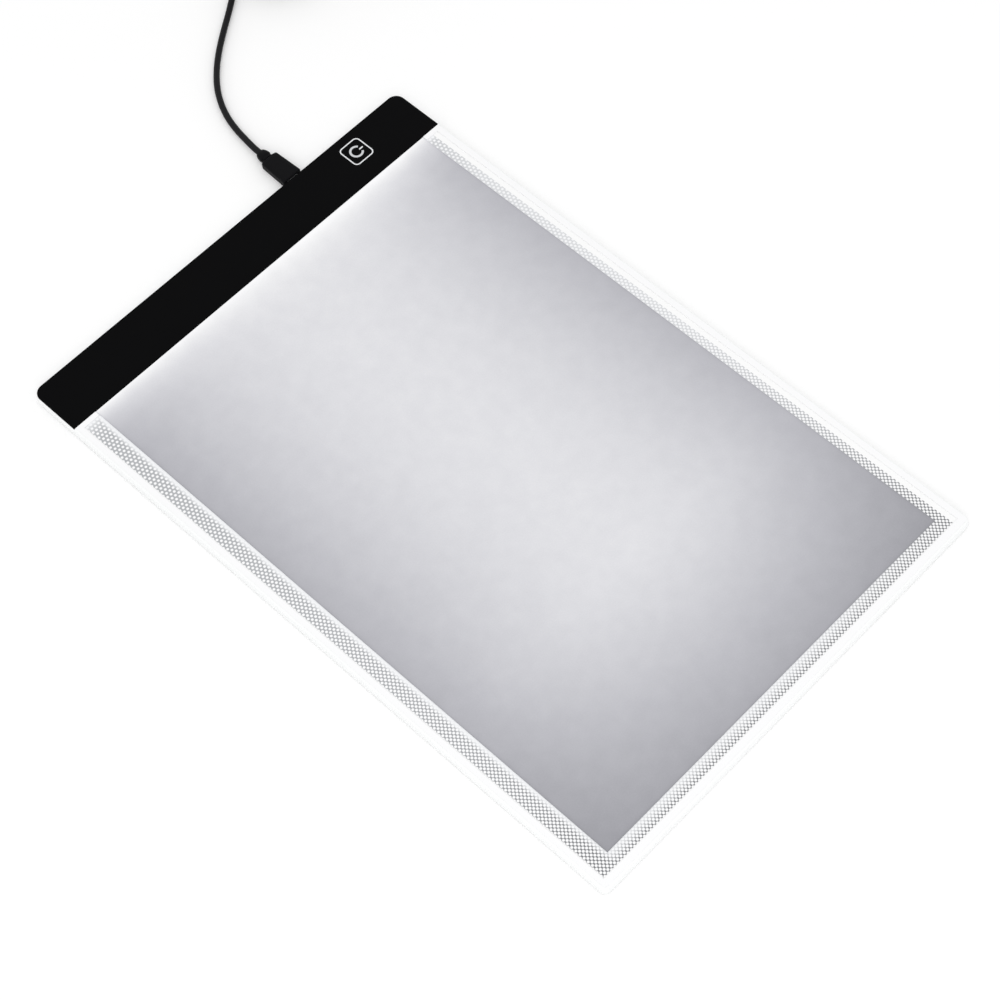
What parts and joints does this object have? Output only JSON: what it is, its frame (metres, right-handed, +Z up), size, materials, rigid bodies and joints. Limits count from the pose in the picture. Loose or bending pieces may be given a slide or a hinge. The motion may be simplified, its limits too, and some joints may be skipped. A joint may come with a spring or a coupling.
{
  "type": "led tracing pad",
  "caption": "Slim A4 LED tracing pad: white tray, lit panel with a matte working sheet, black touch-control strip and a plug-in USB lead with its spare length coiled.",
  "frame": {"origin": "on the surface that the pad stands on, under the middle of the pad", "axes": "+X across the pad to the power key's side, +Y along the pad to the black control strip and the socket, +Z up"},
  "size_m": [0.3146, 0.4917, 0.0159],
  "materials": {
    "white_shell": "satin white moulded plastic",
    "black_gloss": "smooth black plastic",
    "foot_rubber": "matte grey rubber",
    "mirror_white": "white reflective film",
    "clear_acrylic": "clear acrylic light guide",
    "opal_acrylic": "translucent acrylic that shows the dots below it",
    "white_film": "white film",
    "matte_sheet": "matte grey translucent sheet",
    "led_white": "white strip with LED packages",
    "board_green": "green solder mask",
    "flex_amber": "amber flexible circuit",
    "copper_pad": "conductive touch pad",
    "chip_black": "moulded chip package",
    "resistor_black": "surface-mount resistor",
    "capacitor_tan": "ceramic capacitor",
    "bright_steel": "plated steel shell",
    "contact_black": "black contact carrier",
    "plug_black": "satin black moulded plug",
    "cord_black": "satin black cord jacket",
    "tie_black": "black tie band"
  },
  "bodies": {
    "pad": {"back_cover": "white_shell", "control_cover": "black_gloss", "foot_1": "foot_rubber", "foot_2": "foot_rubber", "foot_3": "foot_rubber", "foot_4": "foot_rubber", "reflector_sheet": "mirror_white", "light_guide_plate": "clear_acrylic", "edge_reflector": "white_film", "top_panel": "opal_acrylic", "border_film": "white_film", "working_sheet": "matte_sheet", "led_strip": "led_white", "flex_tail": "flex_amber", "control_board": "board_green", "touch_electrode": "copper_pad", "touch_chip": "chip_black", "dimmer_transistor": "chip_black", "resistor_1": "resistor_black", "resistor_2": "resistor_black", "resistor_3": "resistor_black", "capacitor_1": "capacitor_tan", "capacitor_2": "capacitor_tan", "usb_socket_shell": "bright_steel", "usb_socket_tongue": "contact_black"},
    "lead": {"plug_shell": "bright_steel", "plug_core": "contact_black", "plug_overmould": "plug_black", "lead_cord": "cord_black", "cord_coil": "cord_black", "cord_tail": "cord_black", "cord_tie": "tie_black", "usb_a_shell": "bright_steel", "usb_a_core": "contact_black", "usb_a_overmould": "plug_black"}
  },
  "joints": [
    {"name": "lead_pull", "type": "slide", "parent": "pad", "child": "lead", "axis": [0, 1, 0], "range_m": [0, 0.008]}
  ]
}
